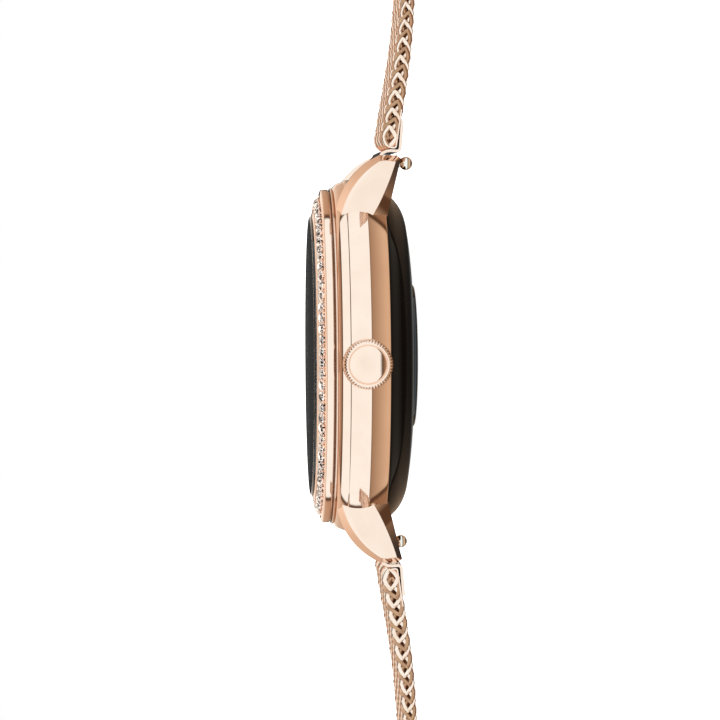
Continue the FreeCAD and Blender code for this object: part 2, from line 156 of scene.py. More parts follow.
PANEL, NEAR_CAMERA = linear("DDF1FE", 1.52), linear("DDF0FC", 1.47)
WARM, TAN, BROWN, DARK = linear("FFF3E6", 1.15), linear("C2A58D"), linear("5B4636"), linear("3E3E3E")
front_stops = [(0.0, linear("8A8A88")), (mirrored_by(-70), DARK), (mirrored_by(-60), BROWN),
               (mirrored_by(-48), BROWN),
               (mirrored_by(-38), linear("E0CDB6")), (mirrored_by(-30), linear("E0CDB6")),
               (mirrored_by(-19), linear("9A8570")),
               (mirrored_by(-16.5), BROWN), (mirrored_by(-14), PANEL), (mirrored_by(28), PANEL),
               (mirrored_by(30), BROWN),
               (mirrored_by(36), BROWN), (mirrored_by(47), TAN), (1.0, linear("DCC6B2"))]
back_stops = [(0.0, linear("383634")), (mirrored_by(-68), linear("403A36")),
              (mirrored_by(-45), linear("B79A80")),
              (mirrored_by(-20), linear("8A6A50")), (mirrored_by(-5), TAN),
              (mirrored_by(40), linear("EAD8C6")), (1.0, WARM)]
direction = add(sky, "ShaderNodeTexCoord").outputs["Generated"]
parts_of = add(sky, "ShaderNodeSeparateXYZ", {0: direction}).outputs
nearness = add(sky, "ShaderNodeMath", {0: parts_of["X"], 1: 0.5, 2: 0.501},
               operation="MULTIPLY_ADD").outputs[0]
root = add(sky, "ShaderNodeMath", {0: nearness, 1: 0.5}, operation="POWER").outputs[0]
lean = add(sky, "ShaderNodeMath", {0: parts_of["Z"], 1: root}, operation="DIVIDE").outputs[0]
tilt = add(sky, "ShaderNodeMapRange", {0: lean, 1: -2.0, 2: 2.0, 3: 0.0, 4: 1.0}).outputs[0]


def towards(low, high):
    """0 where a direction's X is below low, rising to 1 above high."""
    return add(sky, "ShaderNodeMapRange", {0: parts_of["X"], 1: low, 2: high, 3: 0.0, 4: 1.0}).outputs[0]


def mixed(share, first, second):
    """The first colour where share is 0 and the second where it is 1."""
    return add(sky, "ShaderNodeMix", {0: share, 6: first, 7: second}, data_type="RGBA").outputs[2]


front = add(sky, "ShaderNodeValToRGB", {0: tilt})
fill_ramp(front.color_ramp, front_stops)
back = add(sky, "ShaderNodeValToRGB", {0: tilt})
fill_ramp(back.color_ramp, back_stops)
ahead = mixed(towards(0.55, 0.98), front.outputs[0],
              mixed(towards(0.90, 0.995), front.outputs[0], NEAR_CAMERA))
upper_side = add(sky, "ShaderNodeMapRange", {0: parts_of["Z"], 1: -0.03, 2: 0.03, 3: 0.0, 4: 1.0}).outputs[0]
far_wall = mixed(upper_side, linear("6A6A66"), WARM)
behind = mixed(towards(-0.995, -0.991), DARK, mixed(towards(-0.985, -0.960), far_wall, back.outputs[0]))
rim = mixed(towards(-0.47, -0.42), behind, BROWN)
room = mixed(towards(-0.385, -0.35), rim, ahead)
seen = add(sky, "ShaderNodeLightPath").outputs["Is Camera Ray"]
light = add(sky, "ShaderNodeBackground", {"Color": mixed(seen, room, (1, 1, 1, 1)),
                                          "Strength": 1.0}).outputs[0]
add(sky, "ShaderNodeOutputWorld", {"Surface": light})

lamp_data = bpy.data.lights.new("overhead_softbox", "AREA")
lamp_data.shape, lamp_data.size, lamp_data.size_y, lamp_data.energy = "RECTANGLE", 1.0, 1.75, 4.5
lamp_data.color = (0.85, 0.95, 1.0)
lamp = bpy.data.objects.new("overhead_softbox", lamp_data)
lamp.location = (0.35, 0.0, 0.70)
lamp.visible_camera = False
lamp.visible_glossy = False
scene.collection.objects.link(lamp)

floor_mesh = bpy.data.meshes.new("floor")
bm = bmesh.new()
bmesh.ops.create_grid(bm, x_segments=1, y_segments=1, size=3.0)
bmesh.ops.translate(bm, vec=(0, 0, -0.02 * MM), verts=bm.verts)
bm.to_mesh(floor_mesh)
bm.free()
floor = bpy.data.objects.new("floor", floor_mesh)
floor.visible_glossy = False
scene.collection.objects.link(floor)

pale = bpy.data.materials.new("pale_paper_floor")
pale.use_nodes = True
pale.node_tree.nodes.clear()
paper = add(pale.node_tree, "ShaderNodeBsdfPrincipled", {
    "Base Color": linear("F2F0EC"), "Roughness": 0.9, "Specular IOR Level": 0.0,
    "Emission Color": (1, 1, 1, 1), "Emission Strength": 0.98})
add(pale.node_tree, "ShaderNodeOutputMaterial", {"Surface": paper.outputs[0]})
floor_mesh.materials.append(pale)
print("studio ready, floor at z =", floor_mesh.vertices[0].co.z / MM, "mm")

# %% [markdown]
# ## Polished rose-gold steel
# The case is stainless steel with a vacuum-deposited rose-gold layer, polished on a wheel. It is a
# pure metal to the eye: its colour is in its reflection, and it has almost no blur. Wheel
# polishing leaves hairlines a few hundredths of a millimetre wide and a very slight waviness. The
# hairlines only change the blur, and the waviness is a faint bump, or the mirror would look dead.

# %% Make the polished finish
def new_finish(name):
    """A material with only an output node; returns it and its node tree."""
    made = bpy.data.materials.new(name)
    made.use_nodes = True
    made.node_tree.nodes.clear()
    return made, made.node_tree


def per_mm(size):
    """The scale of a texture whose details are that many millimetres wide."""
    return 1 / (size * MM)


rose_gold, tree = new_finish("polished_rose_gold_steel")
place = add(tree, "ShaderNodeTexCoord").outputs["Object"]
hairline = add(tree, "ShaderNodeTexNoise", {"Vector": place, "Scale": per_mm(0.15), "Detail": 3.0}).outputs[0]
blur = add(tree, "ShaderNodeMapRange", {0: hairline, 1: 0.3, 2: 0.7, 3: 0.045, 4: 0.09}).outputs[0]
coat = add(tree, "ShaderNodeTexNoise", {"Vector": place, "Scale": per_mm(3.0), "Detail": 2.0}).outputs[0]
tone = add(tree, "ShaderNodeValToRGB", {0: coat})
fill_ramp(tone.color_ramp, [(0.3, linear("F3CDB4")), (0.7, linear("F6D3BB"))])
wave = add(tree, "ShaderNodeTexNoise", {"Vector": place, "Scale": per_mm(1.6), "Detail": 1.0}).outputs[0]
bump = add(tree, "ShaderNodeBump", {"Height": wave, "Strength": 0.15, "Distance": 0.01 * MM}).outputs[0]
metal = add(tree, "ShaderNodeBsdfPrincipled", {
    "Base Color": tone.outputs[0], "Metallic": 1.0, "Roughness": blur, "Normal": bump})
add(tree, "ShaderNodeOutputMaterial", {"Surface": metal.outputs[0]})
print(rose_gold.name, "has hairlines 0.15 mm wide")

# %% [markdown]
# ## Woven rose-gold wire
# The strap's wire is the same steel, but it was drawn through dies, woven, rolled flat and plated,
# and never saw a polishing wheel. It keeps more blur, and the plating is a little uneven, darker
# where the wires rub. A coarser noise for the plating and fine die lines give both.

# %% Make the wire's finish
wire_gold, tree = new_finish("drawn_rose_gold_wire")
place = add(tree, "ShaderNodeTexCoord").outputs["Object"]
plating = add(tree, "ShaderNodeTexNoise", {"Vector": place, "Scale": per_mm(1.1), "Detail": 3.0}).outputs[0]
tone = add(tree, "ShaderNodeValToRGB", {0: plating})
fill_ramp(tone.color_ramp, [(0.3, linear("F0CBB0")), (0.7, linear("F8DAC4"))])
die_lines = add(tree, "ShaderNodeTexNoise", {"Vector": place, "Scale": per_mm(0.1), "Detail": 2.0}).outputs[0]
blur = add(tree, "ShaderNodeMapRange", {0: die_lines, 1: 0.3, 2: 0.7, 3: 0.12, 4: 0.24}).outputs[0]
bump = add(tree, "ShaderNodeBump", {"Height": die_lines, "Strength": 0.2, "Distance": 0.01 * MM}).outputs[0]
metal = add(tree, "ShaderNodeBsdfPrincipled", {
    "Base Color": tone.outputs[0], "Metallic": 1.0, "Roughness": blur, "Normal": bump})
add(tree, "ShaderNodeOutputMaterial", {"Surface": metal.outputs[0]})
print(wire_gold.name, "has plating spots 1.1 mm wide")

# %% [markdown]
# ## Wire in painted shade
# Every other coil lies a little lower when the mesh is rolled flat. Near the strap's edges those
# coils get a darker, browner copy of the wire's finish, a painted shade for the dark legs of their
# end turns. It is the same wire otherwise, so its material is a copy.

# %% Make the darker wire's finish
# Painted shade: this darker copy of the wire stands in for the shade on the coils' end turns.
shaded_wire_gold = wire_gold.copy()
shaded_wire_gold.name = "painted_shade_rose_gold_wire"
darker = next(n for n in shaded_wire_gold.node_tree.nodes if n.type == "VALTORGB")
fill_ramp(darker.color_ramp, [(0.3, linear("A97A5B")), (0.7, linear("C4946F"))])
print(shaded_wire_gold.name, "is the darker of the two")

# %% [markdown]
# ## Glass, stones and black parts
# The stones stand for cut glass with a foiled back, but their facets are opaque and their sparkle is
# painted: each facet has one of three metallic tones, bright, grey or dark, as painted reflections,
# and the two lighter tones glow a little, a painted light in place of the light that a real stone
# throws back. The imported stones keep the clear glass. The cover glass is a clear slab over a
# display that is off. The cover on the back is black plastic with a hard gloss lacquer, and the
# window in it is smoke-tinted, over the sensors. Each is smooth, so its detail is only a trace of
# wiping marks in the blur.

# %% Make the glossy finishes
def glossy(name, code, wipe, blur_low, blur_high, **extra):
    """A smooth material whose blur varies over wiping marks that are wipe millimetres wide."""
    made, own = new_finish(name)
    where = add(own, "ShaderNodeTexCoord").outputs["Object"]
    marks = add(own, "ShaderNodeTexNoise", {"Vector": where, "Scale": per_mm(wipe), "Detail": 4.0}).outputs[0]
    rough = add(own, "ShaderNodeMapRange", {0: marks, 1: 0.3, 2: 0.7, 3: blur_low, 4: blur_high}).outputs[0]
    feeds = {"Base Color": linear(code), "Roughness": rough}
    feeds.update({key.replace("_", " "): value for key, value in extra.items()})
    shader = add(own, "ShaderNodeBsdfPrincipled", feeds)
    add(own, "ShaderNodeOutputMaterial", {"Surface": shader.outputs[0]})
    return made


stone_glass = glossy("cut_crystal_glass", "FFFFFF", 0.5, 0.0, 0.02, IOR=1.70, Transmission_Weight=1.0)
# Painted sparkle: bright, grey and dark facet tones are painted reflections, and the glow of the two lighter ones is
# painted light.
painted_sparkle_facets = [glossy("painted_sparkle_facet_" + tone, code, 0.2, 0.02, 0.06, Metallic=1.0,
                       Emission_Color=(1, 1, 1, 1),
                       Emission_Strength=glow)
                for tone, code, glow in (("bright", "FFF2E6", 0.5), ("grey", "B5AEA8", 0.12),
                                         ("dark", "2E2B29", 0.0))]
cover_clear = glossy("hardened_cover_glass", "8C8C8A", 6.0, 0.0, 0.02, IOR=1.52, Transmission_Weight=1.0)
black_lacquer = glossy("black_gloss_lacquer", "040404", 5.0, 0.04, 0.08, IOR=1.30)
smoked_window = glossy("smoke_tinted_window", "0B0909", 4.0, 0.03, 0.06, IOR=1.52)
black_rubber = glossy("black_silicone_rubber", "141414", 0.3, 0.5, 0.7, IOR=1.42)
brown_rubber = glossy("brown_fluoro_rubber", "7A4B2E", 0.3, 0.4, 0.6, IOR=1.42)
stainless = glossy("polished_stainless_steel", "EDDCCB", 0.3, 0.05, 0.10, Metallic=1.0)
print("glossy finishes made")

# %% [markdown]
# ## Hidden parts
# The electronics never show while the watch is closed, but they are in the model and they can be
# uncovered, so each gets a plain honest finish by its slot: solder mask on the boards, tin on the
# cans, moulded plastic on the frame, printed foil on the battery.

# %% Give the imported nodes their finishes
inner = {
    "contact": glossy("gilt_contact", "D9B36A", 0.4, 0.12, 0.2, Metallic=1.0),
    "board": glossy("green_solder_mask", "1E4A34", 0.8, 0.25, 0.45),
    "frame_plastic": glossy("glass_filled_nylon", "26282A", 0.25, 0.45, 0.65),
    "can": glossy("tinned_steel_sheet", "B9BCBF", 0.6, 0.2, 0.35, Metallic=1.0),
    "battery": glossy("foil_battery_pouch", "6E7276", 2.0, 0.2, 0.4, Metallic=0.6),
    "display": glossy("switched_off_display", "030304", 3.0, 0.05, 0.1),
    "flex": glossy("amber_polyimide_film", "A8642A", 1.0, 0.2, 0.35),
}
by_slot = {"rose_gold": rose_gold, "rose_gold_mesh": wire_gold, "crystal": stone_glass,
           "cover_glass": cover_clear,
           "black_gloss": black_lacquer, "sensor_window": smoked_window, "seal": black_rubber,
           "steel": stainless, **inner}
for subpart in frame["record"]["subparts"]:
    node = frame["nodes"][subpart["node"]]
    node.data.materials.clear()
    node.data.materials.append(by_slot[subpart["material_slot"]])
print(len(frame["nodes"]), "packed nodes have finishes")

# %% [markdown]
# ## From a mesh to a named piece
# Pieces are modelled in millimetres, where they belong, and made metres at the end. An edge where
# two faces meet at more than a set angle stays sharp, the rest is shaded smooth. A weighted-normal
# modifier then lets the large faces decide the shading, so a flat face stays flat up to its rim.

# %% Helpers for pieces
collection = bpy.context.scene.collection


def finish_piece(name, bm, body, finishes, stands_for=(), crease=32, weighted=True):
    """Makes an object of a bmesh in millimetres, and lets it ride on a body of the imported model."""
    bmesh.ops.scale(bm, vec=(MM, MM, MM), verts=bm.verts)
    for face in bm.faces:
        face.smooth = crease > 0
    for edge in bm.edges:
        edge.smooth = len(edge.link_faces) == 2 and edge.calc_face_angle(0) < math.radians(crease)
    mesh = bpy.data.meshes.new(name)
    bm.to_mesh(mesh)
    bm.free()
    for finish in finishes:
        mesh.materials.append(finish)
    made = bpy.data.objects.new(name, mesh)
    collection.objects.link(made)
    if weighted:
        made.modifiers.new("large faces lead", "WEIGHTED_NORMAL").keep_sharp = True
    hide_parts(*stands_for)
    if body:
        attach(made, body)
    print(f"{name}: {len(mesh.polygons)} faces")
    return made


def outline(steps, count=10):
    """Points of an outline. A step that is a pair of points is an arc through the first to the second."""
    points = [Vector(steps[0])]
    for step in steps[1:]:
        if not isinstance(step[0], tuple):
            points.append(Vector(step))
            continue
        first, via, last = points[-1], Vector(step[0]), Vector(step[1])
        a, b = via - first, last - first
        double = 2 * (a.x * b.y - a.y * b.x)
        centre = first + Vector((b.y * a.length_squared - a.y * b.length_squared,
                                 a.x * b.length_squared - b.x * a.length_squared)) / double
        start, sweep = first - centre, (first - centre).angle_signed(last - centre)
        if sweep * (first - centre).angle_signed(via - centre) < 0:
            sweep -= math.copysign(2 * math.pi, sweep)
        points += [centre + Matrix.Rotation(-sweep * n / count, 2) @ start for n in range(1, count + 1)]
    return points


def loop_of(bm, points):
    """Adds vertices and joins them with edges into a closed loop."""
    corners = [bm.verts.new(point) for point in points]
    return corners, [bm.edges.new(pair) for pair in zip(corners, corners[1:] + corners[:1])]


def turned(points, steps=192, axis=(0, 0, 1), centre=(0, 0, 0)):
    """A closed turned shape from (radius, height) points about an axis along Z or X."""
    bm = bmesh.new()
    place = (lambda r, z: (r, 0, z)) if axis[2] else (lambda r, x: (x, 0, r + centre[2]))
    corners, edges = loop_of(bm, [place(*point) for point in points])
    bmesh.ops.spin(bm, geom=corners + edges, cent=centre, axis=axis, dvec=(0, 0, 0), angle=2 * math.pi,
                   steps=steps,
                   use_merge=True, use_normal_flip=False, use_duplicate=False)
    bmesh.ops.remove_doubles(bm, verts=bm.verts, dist=1e-4)
    bmesh.ops.recalc_face_normals(bm, faces=bm.faces)
    return bm


def soften(bm, width, segments=2, angle=28, where=lambda edge: True):
    """Rounds the edges that are sharper than an angle, as polishing does."""
    sharp = [e for e in bm.edges if len(e.link_faces) == 2 and e.calc_face_angle(0) > math.radians(angle) and where(e)]
    bmesh.ops.bevel(bm, geom=sharp, offset=width, offset_type="OFFSET", segments=segments, profile=0.5,
                    affect="EDGES",
                    clamp_overlap=True, material=-1)
    return bm


print("an arc of a quarter turn gets", len(outline([(1, 0), ((0.7071, 0.7071), (0, 1))])), "points")

# %% [markdown]
# ## Mid case
# The real case is forged and turned: a barrel whose wall bulges, widest a little below the bezel.
# A spin of its closed section about the case's axis gives that, with clean rings of quads that
# reflect without a ripple. The lugs are milled, each with a flat side and bevels all round it
# that widen it towards the strap, and stand in the barrel.

# %% Turn the barrel
CASE_WALL = [(18.6, 3.8), (19.85, 3.8), (19.92, 3.87), ((20.5, 4.98), (20.93, 6.05)),
             ((21.04, 7.22), (20.93, 8.34)),
             (20.83, 8.48), ((20.7, 8.92), (20.5, 9.35)), ((20.2, 9.65), (19.9, 9.82)), (18.6, 9.82)]
bm = soften(turned(outline(CASE_WALL, 12)), 0.04, angle=5.5)
finish_piece("case_barrel", bm, "case", [rose_gold], ["mid_case"], crease=30)

# %% Mill the lugs
LUG_FLAT = [(16.7, 8.45), ((20.42, 7.05), (23.06, 4.52)), (23.16, 3.9), (23.0, 2.76),
            ((20.15, 3.78), (16.7, 5.5))]
LUG_SIDE = [(16.6, 9.15), ((20.66, 7.31), (23.1, 4.56)), (23.2, 3.9), (23.05, 2.72),
            ((20.2, 3.72), (16.6, 5.45))]
LUG_ROOT = [(15.2, 9.8), ((21.1, 8.02), (23.8, 4.6)), (23.8, 2.6), (23.4, 2.05), ((20.2, 2.83), (15.2, 4.0))]

bm = bmesh.new()
ring, edges = loop_of(bm, [(9.15, y, z) for y, z in outline(LUG_ROOT, 12)])
cap = [bm.faces.new(ring)]
for number, (x, shape) in enumerate(((10.3, LUG_ROOT), (11.94, LUG_SIDE), (12.05, LUG_FLAT))):
    grown = bmesh.ops.extrude_face_region(bm, geom=cap, use_keep_orig=number == 0)["geom"]
    cap = [f for f in grown if isinstance(f, bmesh.types.BMFace)]
    for corner, (y, z) in zip([loop.vert for loop in cap[0].loops], outline(shape, 12)):
        corner.co = (x, y, z)
bmesh.ops.recalc_face_normals(bm, faces=bm.faces)
soften(bm, 0.04, segments=2, angle=9, where=lambda edge: abs(edge.verts[0].co.x - edge.verts[1].co.x) < 0.01)
for axis in "XY":
    bmesh.ops.mirror(bm, geom=bm.verts[:] + bm.edges[:] + bm.faces[:], axis=axis, merge_dist=-1)
bmesh.ops.recalc_face_normals(bm, faces=bm.faces)
lugs = finish_piece("lugs", bm, "case", [rose_gold], ["mid_case"], crease=24)
lugs.visible_glossy = False

# %% [markdown]
# ## Bezel
# The bezel is a turned ring: a plain vertical wall, then a slope up to the glass with a shallow
# channel along it for the stones. Under it sit a dark seal and a thin polished ring. The channel
# is part of the spun section, cut square to the slope.

# %% Turn the bezel, its ring and its seal
WALL_TOP, BEZEL_TOP, BEZEL_OUT, BEZEL_IN = 11.1, 12.22, 19.9, 16.8
TILT = math.atan2(BEZEL_TOP - WALL_TOP, BEZEL_OUT - BEZEL_IN)


def on_slope(radius, off=0.0):
    """A point on the slope at that radius, or off millimetres out of it, as (radius, height)."""
    return (radius + off * math.sin(TILT), WALL_TOP + (BEZEL_OUT - radius) * math.tan(TILT) + off * math.cos(TILT))


section = [(17.6, 8.9), (18.55, 8.9), (18.55, 10.22), (19.8, 10.22), (19.9, 10.32), (BEZEL_OUT, WALL_TOP),
           on_slope(19.25),
           on_slope(19.25, -0.16), on_slope(17.35, -0.16), on_slope(17.35), (BEZEL_IN, BEZEL_TOP),
           (16.8, 11.28),
           (16.0, 11.28), (16.0, 10.36), (17.6, 10.36)]
bm = soften(turned(section), 0.09, angle=15)
finish_piece("bezel_hoop", bm, "case", [rose_gold], ["bezel"], crease=50)
bm = turned([(18.65, 9.82), (20.0, 9.82), (20.08, 9.9), (20.08, 10.0), (20.0, 10.07), (18.65, 10.07)])
finish_piece("bezel_under_ring", soften(bm, 0.03), "case", [rose_gold], ["bezel_ring"],
             crease=50)
bm = turned([(18.65, 10.07), (19.6, 10.07), (19.6, 10.22), (18.65, 10.22)])
finish_piece("bezel_seal", bm, "case", [brown_rubber], ["bezel_gasket"])

# %% [markdown]
# ## Stones and grains
# Eighty-eight round stones stand shoulder to shoulder in the channel. Between two stones the
# setter raises small grains of metal, one on each side of the row, that hold both. One stone is
# the hull of its table, its girdle and its point, which gives the crown's triangles without
# listing them. It is copied round the row, and the three painted sparkle tones, painted
# reflections in bright, grey and dark, are dealt out over the facets in a fixed order.

# %% Cut and set the stones
STONES, ROW_RADIUS, GIRDLE = 88, 18.3, 0.62
ROW_HEIGHT = on_slope(ROW_RADIUS)[1]


def to_row(angle, inwards=0.0, off=0.0):
    """The place of a setting at that angle round the row, with its own Z out of the slope."""
    return (Matrix.Rotation(angle, 4, "Z") @ Matrix.Translation((ROW_RADIUS, 0, ROW_HEIGHT))
            @ Matrix.Rotation(TILT, 4, "Y") @ Matrix.Translation((-inwards, 0, off)))


stone = bmesh.new()
for sides, radius, level_z, start in ((8, 0.336, 0.24, 0.0), (8, 0.5, 0.15, math.pi / 8),
                                      (16, GIRDLE, 0.05, 0.0),
                                      (16, GIRDLE, 0.0, 0.0), (8, 0.3, -0.27, 0.0)):
    bmesh.ops.create_circle(stone, segments=sides, radius=radius,
                            matrix=Matrix.Translation((0, 0, level_z)) @ Matrix.Rotation(start, 4, "Z"))
stone.verts.new((0, 0, -0.5))
bmesh.ops.convex_hull(stone, input=stone.verts)
bmesh.ops.dissolve_limit(stone, angle_limit=math.radians(1), verts=stone.verts, edges=stone.edges)
bmesh.ops.recalc_face_normals(stone, faces=stone.faces)
stone_mesh = bpy.data.meshes.new("one_stone")
stone.to_mesh(stone_mesh)
print("a stone has", len(stone.faces), "facets")
stone.free()


def copies_of(mesh, places):
    """One bmesh with a copy of a mesh at each place."""
    bm = bmesh.new()
    for where in places:
        before = len(bm.verts)
        bm.from_mesh(mesh)
        bm.verts.ensure_lookup_table()
        bmesh.ops.transform(bm, matrix=where, verts=bm.verts[before:])
    return bm


step = 2 * math.pi / STONES
bm = copies_of(stone_mesh, [to_row(n * step) for n in range(STONES)])
# Painted reflections: the bright, grey and dark tones go to the facets in a fixed order, not by where the light falls.
for number, facet in enumerate(bm.faces):
    facet.material_index = (0, 2, 0, 1, 0, 2, 1)[(number * 11 + (number // 9) ** 2) % 7]
finish_piece("cut_stones", bm, "case", painted_sparkle_facets, ["bezel_crystals"], crease=0, weighted=False)

grain = bmesh.new()
bmesh.ops.create_icosphere(grain, subdivisions=2, radius=0.13)
grain_mesh = bpy.data.meshes.new("one_grain")
grain.to_mesh(grain_mesh)
grain.free()
bm = copies_of(grain_mesh, [to_row((n + 0.5) * step, side_of * 0.5,
                                   -0.03) for n in range(STONES) for side_of in (-1, 1)])
finish_piece("setting_grains", bm, "case", [rose_gold], crease=60, weighted=False)

# %% [markdown]
# ## Glass and back
# The cover glass stands proud of the bezel with a ground edge. On the back a domed black cover
# carries the round sensor window that the watch stands on, with two gilt charging rings let into
# it. All are turned sections.

# %% Turn the glass, the back cover and the window
bm = turned(outline([(0, 11.4), (16.72, 11.4), (16.72, 12.32), (16.5, 12.47), ((9.0, 12.56), (2.0, 12.6)),
                     (0, 12.6)], 8))
finish_piece("cover_glass_slab", soften(bm, 0.04, angle=30), "case", [cover_clear],
             ["cover_glass"], crease=40)
bm = turned(outline([(7.6, 0.45), (8.4, 0.45), ((13.0, 0.75), (16.4, 1.22)),
                     ((18.35, 2.15), (19.7, 3.82)), (18.55, 3.82),
                     (18.55, 4.7), (17.95, 4.7), (17.95, 3.3), ((16.0, 2.1), (12.5, 1.72)), (7.6, 1.6)], 10))
finish_piece("back_dome", soften(bm, 0.06), "case", [black_lacquer], ["back_cover"], crease=40)
bm = turned(outline([(0, 0), (5.2, 0), (5.2, 0.55), (5.8, 0.55), (5.8, 0), (6.6, 0), (6.6, 0.55),
                     (7.2, 0.55), (7.2, 0),
                     (8.2, 0), ((8.42, 0.08), (8.5, 0.25)), (8.5, 0.45), (7.55, 0.45), (7.55, 1.7),
                     (0, 1.7)], 5))
finish_piece("sensor_lens", soften(bm, 0.03, angle=40), "case", [smoked_window],
             ["sensor_window"], crease=40)

# %% [markdown]
# ## Crown
# The crown is turned from the same steel and its rim is milled with forty-eight shallow flutes, like
# the edge of a coin. A circle with the flutes already in it is drawn out along X, ring by ring,
# and drawn in again to the chamfer, the raised rim and the slightly domed face.

# %% Mill the crown
CROWN_Z, CROWN_RADIUS, FLUTES, FLUTE_SIDES = 6.6, 2.87, 48, 8


def fluted(angle, depth):
    """The crown's radius at that angle, with flutes of that depth."""
    around = (angle * FLUTES / (2 * math.pi)) % 1.0
    across_flute = (around - 0.5) / 0.34
    return CROWN_RADIUS - depth * math.sqrt(max(0.0, 1 - across_flute ** 2))


bm = bmesh.new()
stations = [(21.95, 1.0, 0), (21.95, 1.72, 0), (21.55, 1.72, 0), (21.55, 2.65, 0), (21.78, 2.86, 0),
            (21.86, 2.9, 0.11),
            (23.3, 2.9, 0.12), (23.42, 2.84, 0.13), (23.6, 2.66, 0.08), (23.7, 2.5, 0), (23.74, 2.4, 0),
            (23.72, 2.28, 0),
            (23.6, 2.2, 0), (23.6, 2.16, 0)]
DOME = 6.2
dome_angles = [math.asin(2.14 / DOME) * n / 12 for n in range(12, 0, -1)] + [0.02]
stations += [(24.0 - DOME * (1 - math.cos(a)), DOME * math.sin(a), 0) for a in dome_angles]
ring = bmesh.ops.create_circle(bm, segments=FLUTES * FLUTE_SIDES, radius=1.0)["verts"]
bmesh.ops.rotate(bm, cent=(0, 0, 0), matrix=Matrix.Rotation(math.pi / 2, 3, "Y"), verts=ring)
for number, (x, radius, depth) in enumerate(stations):
    if number:
        rim = list({edge for v in ring for edge in v.link_edges if all(w in ring for w in edge.verts)})
        ring = [v for v in bmesh.ops.extrude_edge_only(bm, edges=rim)["geom"] if isinstance(v, bmesh.types.BMVert)]
    ring = set(ring)
    for corner in ring:
        angle = math.atan2(corner.co.z, corner.co.y)
        reach = radius - 2.9 + fluted(angle, depth)
        corner.co = (x, reach * math.cos(angle), reach * math.sin(angle))
bmesh.ops.holes_fill(bm, edges=[e for e in bm.edges if e.is_boundary], sides=0)
bmesh.ops.translate(bm, vec=(0, 0, CROWN_Z), verts=bm.verts)
bmesh.ops.recalc_face_normals(bm, faces=bm.faces)
finish_piece("fluted_crown", bm, "crown", [rose_gold], ["crown_cap"], crease=36)

# %% [markdown]
# ## The strap's middle line
# Both halves leave the lugs and drape down to the table. The frame's links are straight, and the
# real mesh bends smoothly, so the line is averaged over a few millimetres along its length. Each
# half is made running towards +Y, and the lower one is turned half round at the end.

# %% Lay out the strap
HALF_WIDTH, HALF_MESH = 8.9, 0.775
FLAT_Z, RAISED_Z = 0.79, 1.36
FIRST_LINKS = [(22.7, 3.35), (35.5, 1.56), (46.5, FLAT_Z), (58.5, FLAT_Z), (70.5, FLAT_Z)]
LINES = {"upper": FIRST_LINKS + [(80.6, FLAT_Z)],
         "lower": FIRST_LINKS + [(82.5, RAISED_Z), (112.5, RAISED_Z), (122.6, FLAT_Z + 0.2)]}


def point_at(line, distance):
    """The point of a line of straight runs at that distance along it; past its ends it goes straight on."""
    for (y0, z0), (y1, z1) in zip(line, line[1:]):
        length = math.hypot(y1 - y0, z1 - z0)
        if distance <= length or (y1, z1) == line[-1]:
            return Vector((y0 + (y1 - y0) * distance / length, z0 + (z1 - z0) * distance / length))
        distance -= length


def smooth_at(line, distance, reach=4.0):
    """The same point, with the line's bends averaged over reach millimetres each way."""
    near = [point_at(line, distance + reach * n / 4) for n in range(-4, 5)]
    return sum(near, Vector((0, 0))) / len(near)


def frame_at(line, distance, side):
    """A matrix that lays a shape made at the origin on the line there; side -1 is the 6 o'clock half."""
    here, ahead = smooth_at(line, distance), smooth_at(line, distance + 0.1)
    slope = math.atan2(ahead.y - here.y, ahead.x - here.x)
    lay = Matrix.Translation((0, here.x, here.y)) @ Matrix.Rotation(slope, 4, "X")
    return lay if side > 0 else Matrix.Rotation(math.pi, 4, "Z") @ lay


def corner_lengths(line):
    """How far along the line each of its corners is."""
    marks = [0.0]
    for (y0, z0), (y1, z1) in zip(line, line[1:]):
        marks.append(marks[-1] + math.hypot(y1 - y0, z1 - z0))
    return marks


print("the halves are", [round(corner_lengths(line)[-1], 1) for line in LINES.values()], "mm long")

# %% [markdown]
# ## Woven mesh
# A Milanese strap is made of flattened wire coils that lie across it, each wound through the one
# before, and then rolled flat. Seen from the edge the end turns make nested chevrons that point
# away from the case. A turn is flat on both faces, but pointed where the coil ends, and the end
# turn comes forward at its tip and sinks at its foot, under the tip of the next. Every other coil
# is wound the other hand. The wire is a curve with a round section, so that it stays round in
# the tight tips. The coils are 1.04 mm apart, of 0.42 mm wire.

# %% Wind one coil
WIRE, PITCH, TURNS, LONG = 0.21, 1.04, 21, 1.22
HALF_STEPS = (-1.0, -0.94, -0.72, -0.4, 0.0, 0.4, 0.72, 0.94)


